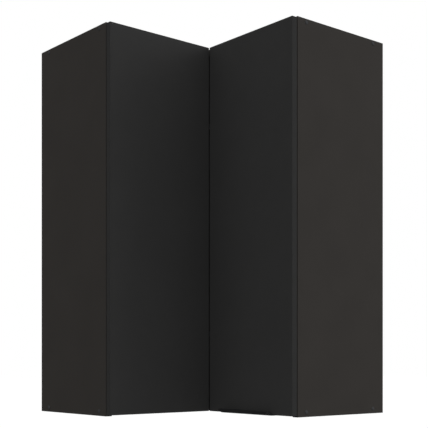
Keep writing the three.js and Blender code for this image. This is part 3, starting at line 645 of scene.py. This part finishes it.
def dome(foot, rise, radius, rim, top):
    """A dome whose foot is centred on a point and that rises along an axis."""
    bm = bmesh.new()
    foot, rise, across = Vector(foot), Vector(rise), Vector((0, 0, 1))
    section = [bm.verts.new(foot), bm.verts.new(foot + across * radius)]
    for step in range(DOME_STEPS + 1):
        angle = step / DOME_STEPS * math.pi / 2
        out, up = radius * math.cos(angle), rim + (top - rim) * math.sin(angle)
        section.append(bm.verts.new(foot + across * out + rise * up))
    for first, second in zip(section, section[1:]):
        bm.edges.new((first, second))
    bmesh.ops.spin(
        bm, geom=bm.verts[:] + bm.edges[:], cent=foot, axis=rise,
        angle=math.radians(360), steps=SPIN_STEPS, use_merge=True,
    )
    bmesh.ops.remove_doubles(bm, verts=bm.verts, dist=MERGED)
    bmesh.ops.recalc_face_normals(bm, faces=bm.faces)
    return bm


for name in CAPS:
    low, high, middle = box_of(name)
    if name.startswith("left"):
        foot, rise = (high.x, middle.y, middle.z), (-1, 0, 0)
    else:
        foot, rise = (middle.x, high.y, middle.z), (0, -1, 0)
    stands_for(name, dome(foot, rise, CAP_RADIUS, CAP_RIM, CAP_RISE), smooth=50)
print("covers", len(CAPS))

# %% [markdown]
# ## Screws
# A cross-head screw shows its head only: a low dome with a cross-shaped recess. The cross is a
# three by three grid without its corners. It is pushed down into the head, and a fill between its
# outline and a circle closes the top. The rim is then drawn down to the part that it holds, and the
# foot is closed. Cutting the cross with a Boolean would work as well, but is slower and less tidy.

# %% Screw heads
CROSS_SHARE = 0.42  # half the cross, as a share of the head's radius
CORNER_SHARE = 0.1  # faces further than this from both arms are the grid's corners
RECESS_SHARE = 0.55  # depth of the recess, as a share of the head's height
RECESS_TAPER = 0.7
CROWN_SHARE = 0.8  # radius of the flat top
HEAD_SIDES = 20
RIM_STEPS = ((1.25, 0.35), (1.0, 0.65))  # widening and drop of each ring, down to the foot


def only(kind, geometry):
    return [part for part in geometry if isinstance(part, kind)]


def screw_head(bm, centre, out, radius, height):
    """Adds a head to the bmesh, with its foot on a point and facing along an axis."""
    head = bmesh.new()
    bmesh.ops.create_grid(head, x_segments=3, y_segments=3, size=radius * CROSS_SHARE)
    corners = []
    for face in head.faces:
        place_on_grid = face.calc_center_median()
        if min(abs(place_on_grid.x), abs(place_on_grid.y)) > radius * CORNER_SHARE:
            corners.append(face)
    bmesh.ops.delete(head, geom=corners, context="FACES")
    cross = head.faces[:]
    outline = [edge for edge in head.edges if edge.is_boundary]
    floor = only(bmesh.types.BMVert, bmesh.ops.extrude_face_region(head, geom=cross)["geom"])
    bmesh.ops.scale(head, vec=(RECESS_TAPER, RECESS_TAPER, 1), verts=floor)
    bmesh.ops.translate(head, vec=(0, 0, -height * RECESS_SHARE), verts=floor)
    bmesh.ops.delete(head, geom=[face for face in cross if face.is_valid], context="FACES_ONLY")
    crown = bmesh.ops.create_circle(head, radius=radius * CROWN_SHARE, segments=HEAD_SIDES)["verts"]
    rim = [edge for edge in head.edges if edge.verts[0] in crown and edge.verts[1] in crown]
    outline = [edge for edge in outline if edge.is_valid]
    bmesh.ops.triangle_fill(head, edges=outline + rim, use_beauty=True)
    for widen, drop in RIM_STEPS:
        lower = bmesh.ops.extrude_edge_only(head, edges=rim)["geom"]
        verts = only(bmesh.types.BMVert, lower)
        bmesh.ops.scale(head, vec=(widen, widen, 1), verts=verts)
        bmesh.ops.translate(head, vec=(0, 0, -drop * height), verts=verts)
        rim = only(bmesh.types.BMEdge, lower)
    bmesh.ops.edgeloop_fill(head, edges=rim)
    bmesh.ops.recalc_face_normals(head, faces=head.faces)
    turn = Vector((0, 0, 1)).rotation_difference(Vector(out)).to_matrix().to_4x4()
    seat = Matrix.Translation(Vector(centre) + Vector(out) * height)
    bmesh.ops.transform(head, matrix=seat @ turn, verts=head.verts)
    mesh = bpy.data.meshes.new("screw_head")
    head.to_mesh(mesh)
    head.free()
    bm.from_mesh(mesh)
    bpy.data.meshes.remove(mesh)


def screws(name, places, out, size, body):
    """One piece of several equal screws. Their size is a pair of radius and height in mm."""
    radius, height = size
    bm = bmesh.new()
    for centre in places:
        screw_head(bm, centre, out, radius * MM, height * MM)
    made(name, bm, [steel], body, smooth=35)


print("screw helper ready")

# %% [markdown]
# ## Screws of the hinges
# Each mounting plate has a screw through either wing, each arm two adjusting screws in its top, and
# each cup a screw at either end of its flange. Their places are read off the boxes of the CAD parts,
# so they follow the hinges. A list of places would have to be kept in step by hand.

# %% Hinge screws
PLATE_SCREW, ARM_SCREW, CUP_SCREW = (3.6, 1.1), (2.8, 0.8), (3.4, 0.9)
WING = 2.5 * MM  # height of a plate's wing above the board
PLATE_SCREWS = 32 * MM  # from screw to screw
CUP_SCREWS = 48 * MM
CUP_SCREW_OFFSET = 5.5 * MM
ARM_SCREWS_ALONG = (9 * MM, 27 * MM)
MAIN_HINGES = [f"main_hinge_{i}" for i in (1, 2, 3)]
CORNER_HINGES = [f"corner_hinge_{i}" for i in (1, 2)]


def pair(middle, spacing):
    """Two heights, above and below a middle."""
    return [middle.z + side * spacing / 2 for side in (-1, 1)]


for hinge in MAIN_HINGES:
    low, high, middle = box_of(f"{hinge}_plate")
    wings = [(low.x + WING, middle.y, z) for z in pair(middle, PLATE_SCREWS)]
    screws(f"{hinge}_plate_screws", wings, (1, 0, 0), PLATE_SCREW, "carcass")
    low, high, middle = box_of(f"{hinge}_arm")
    tops = [(high.x, high.y - along, middle.z) for along in ARM_SCREWS_ALONG]
    screws(f"{hinge}_arm_screws", tops, (1, 0, 0), ARM_SCREW, "carcass")
    low, high, middle = box_of(f"{hinge}_cup")
    ends = [(middle.x + CUP_SCREW_OFFSET, high.y, z) for z in pair(middle, CUP_SCREWS)]
    screws(f"{hinge}_cup_screws", ends, (0, 1, 0), CUP_SCREW, "left_door")

for hinge in CORNER_HINGES:
    low, high, middle = box_of(f"{hinge}_plate")
    wings = [(middle.x, low.y + WING, z) for z in pair(middle, PLATE_SCREWS)]
    screws(f"{hinge}_plate_screws", wings, (0, 1, 0), PLATE_SCREW, "left_door")
    low, high, middle = box_of(f"{hinge}_arm")
    tops = [(low.x + along, high.y, middle.z) for along in ARM_SCREWS_ALONG]
    screws(f"{hinge}_arm_screws", tops, (0, 1, 0), ARM_SCREW, "left_door")
    low, high, middle = box_of(f"{hinge}_cup")
    ends = [(high.x, middle.y - CUP_SCREW_OFFSET, z) for z in pair(middle, CUP_SCREWS)]
    screws(f"{hinge}_cup_screws", ends, (1, 0, 0), CUP_SCREW, "right_door")
print("hinge screws on", len(MAIN_HINGES) + len(CORNER_HINGES), "hinges")

# %% [markdown]
# ## Screws of the hangers and of the grip
# Each hanger housing has two adjusting screws, which lie in wells so that a screwdriver finds them.
# The grip's rear flange has three countersunk screws. Their heads stay below its surface, because
# the bottom panel's edge is less than a millimetre away when the door is shut.

# %% Hanger and grip screws
HANGER_SCREW, GRIP_SCREW = (3.1, 0.8), (1.9, 0.8)
WELL_RISES = (18 * MM, 38 * MM)
WELL_FLOOR = 2 * MM
GRIP_SCREW_SPACING = 64 * MM
GRIP_SCREW_RISE = 10.2 * MM
GRIP_SCREW_SUNK = 0.9 * MM

low, high, middle = box_of("left_hanger_housing")
wells = [(middle.x, low.y + WELL_FLOOR, low.z + rise) for rise in WELL_RISES]
screws("left_hanger_screws", wells, (0, -1, 0), HANGER_SCREW, "carcass")
low, high, middle = box_of("right_hanger_housing")
wells = [(low.x + WELL_FLOOR, middle.y, low.z + rise) for rise in WELL_RISES]
screws("right_hanger_screws", wells, (-1, 0, 0), HANGER_SCREW, "carcass")
low, high, middle = box_of("edge_grip")
holes = [
    (high.x - GRIP_SCREW_SUNK, middle.y + step * GRIP_SCREW_SPACING, low.z + GRIP_SCREW_RISE)
    for step in (-1, 0, 1)
]
screws("edge_grip_screws", holes, (1, 0, 0), GRIP_SCREW, "right_door")
print("hanger screws", 2 * len(WELL_RISES), "grip screws", len(holes))

# %% [markdown]
# ## Door buffers
# Two soft drops of clear plastic on the right side panel's front edge take up the knock when the
# doors shut. Each is a flat dome, spun like the screw covers, because the two are made alike.

# %% Door buffers
BUFFER_RADIUS = 4 * MM
BUFFER_RIM = 0.4 * MM
BUFFER_RISE = 1.7 * MM
BUFFER_HEIGHTS = {"lower": 60 * MM, "upper": 840 * MM}
low, high, middle = box_of("right_side_panel")
for end, height in BUFFER_HEIGHTS.items():
    foot = (low.x, middle.y, height)
    bm = dome(foot, (-1, 0, 0), BUFFER_RADIUS, BUFFER_RIM, BUFFER_RISE)
    made(f"door_buffer_{end}", bm, [buffer_plastic], "carcass", smooth=50)
print("buffers", BUFFER_HEIGHTS)

# %% [markdown]
# ## Floor
# The photograph has a white ground without a shadow, since the cabinet hangs high above the floor. A
# white floor would throw so much light up that the underside and the inner corner turn pale. So the
# floor is painted dark for the light, and it glows white only for what the camera sees, straight, in
# a reflection or through clear plastic. A Light Path node tells these rays from the others.

# %% Floor
FLOOR_DROP = 1.4
FLOOR_HALF = 60
FLOOR_PAINT = 0.15
FLOOR_GLOW = 0.89


def seen_rays(owner):
    """1 for the rays that show something to the camera, 0 for those that only carry light."""
    ray = add_node(owner, "ShaderNodeLightPath").outputs
    seen = calculate(owner, "MAXIMUM", ray["Is Camera Ray"], ray["Is Glossy Ray"])
    return calculate(owner, "MAXIMUM", seen, ray["Is Transmission Ray"])


floor_paint, shader = new_material("floor_paint", (FLOOR_PAINT,) * 3, roughness=0.8, specular=0.0)
shader.inputs["Emission Color"].default_value = (1, 1, 1, 1)
glow = calculate(floor_paint, "MULTIPLY", seen_rays(floor_paint), FLOOR_GLOW)
link(floor_paint, glow, shader.inputs["Emission Strength"])

bm = bmesh.new()
bmesh.ops.create_grid(bm, x_segments=1, y_segments=1, size=FLOOR_HALF)
bmesh.ops.translate(bm, vec=(0, 0, -FLOOR_DROP), verts=bm.verts)
floor_mesh = bpy.data.meshes.new("floor")
bm.to_mesh(floor_mesh)
bm.free()
floor_mesh.materials.append(floor_paint)
floor = bpy.data.objects.new("floor", floor_mesh)
bpy.context.scene.collection.objects.link(floor)
floor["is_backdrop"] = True
print("floor at", -FLOOR_DROP)

# %% [markdown]
# ## World
# Most of the light is soft and comes from all round, as in a white studio. It leans to the side that
# the right side panel and the left door face: the dot product of a direction with the lean is added to
# one, so the light grows towards that side and fades on the other without an edge. What the camera
# sees of the world, and what shiny parts reflect, is plain white. As above, a Mix node's sockets are
# picked by number, here those for plain numbers.

# %% World
WORLD_LIGHT = 1.06
LEAN = (0.22, -0.74, -0.2)  # towards the brighter side, longer for a stronger lean
SEEN_WHITE = 1.0
NUMBER_A, NUMBER_B, NUMBER_OUT = 2, 3, 0

world = bpy.data.worlds.new("studio")
bpy.context.scene.world = world
world.use_nodes = True
background = world.node_tree.nodes["Background"]
background.inputs["Color"].default_value = (1, 1, 1, 1)
direction = add_node(world, "ShaderNodeTexCoord").outputs["Generated"]
towards = add_node(world, "ShaderNodeVectorMath", operation="DOT_PRODUCT")
towards.inputs[1].default_value = LEAN
link(world, direction, towards.inputs[0])
leaning = calculate(world, "ADD", towards.outputs["Value"], 1.0)
strength = add_node(world, "ShaderNodeMix")
link(world, seen_rays(world), strength.inputs["Factor"])
link(world, calculate(world, "MULTIPLY", leaning, WORLD_LIGHT), strength.inputs[NUMBER_A])
strength.inputs[NUMBER_B].default_value = SEEN_WHITE
link(world, strength.outputs[NUMBER_OUT], background.inputs["Strength"])
print("world light", WORLD_LIGHT, "leaning", LEAN)

# %% [markdown]
# ## Lamps
# Three soft boxes give the faces their order of brightness. The right side panel is the palest face,
# so the strongest box stands to the right in front of it. A wide one lights the left side panel and
# the right door, which face the same way, and a weak one behind lights the backs in other views. They
# are far off and large, so that no face shows a bright spot. The view transform is set to Standard,
# which leaves the white ground white.

# %% Lamps
CABINET_MIDDLE = Vector((-0.3, -0.3, 0.45))
SOFTBOX_HEIGHT = 3.0
LAMPS = {  # name: (place, width, power)
    "left_light": ((-6.3, -0.7, 2.2), 6.0, 98),
    "right_light": ((4.2, -4.2, 2.2), 3.0, 121),
    "back_light": ((2.6, 3.0, 1.8), 3.0, 36),
}
for name, (location, width, power) in LAMPS.items():
    lamp = bpy.data.lights.new(name, "AREA")
    lamp.shape = "RECTANGLE"
    lamp.size = width
    lamp.size_y = SOFTBOX_HEIGHT
    lamp.energy = power
    softbox = bpy.data.objects.new(name, lamp)
    softbox.location = location
    aim = CABINET_MIDDLE - Vector(location)
    softbox.rotation_euler = aim.to_track_quat("-Z", "Y").to_euler()
    bpy.context.scene.collection.objects.link(softbox)
bpy.context.scene.view_settings.view_transform = "Standard"
print("lamps", {name: power for name, (_, _, power) in LAMPS.items()})

# %% [markdown]
# ## Sizes and finish
# The box of the dressed cabinet is measured over every piece that renders, the floor left out.

# %% Sizes and finish
low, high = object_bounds()
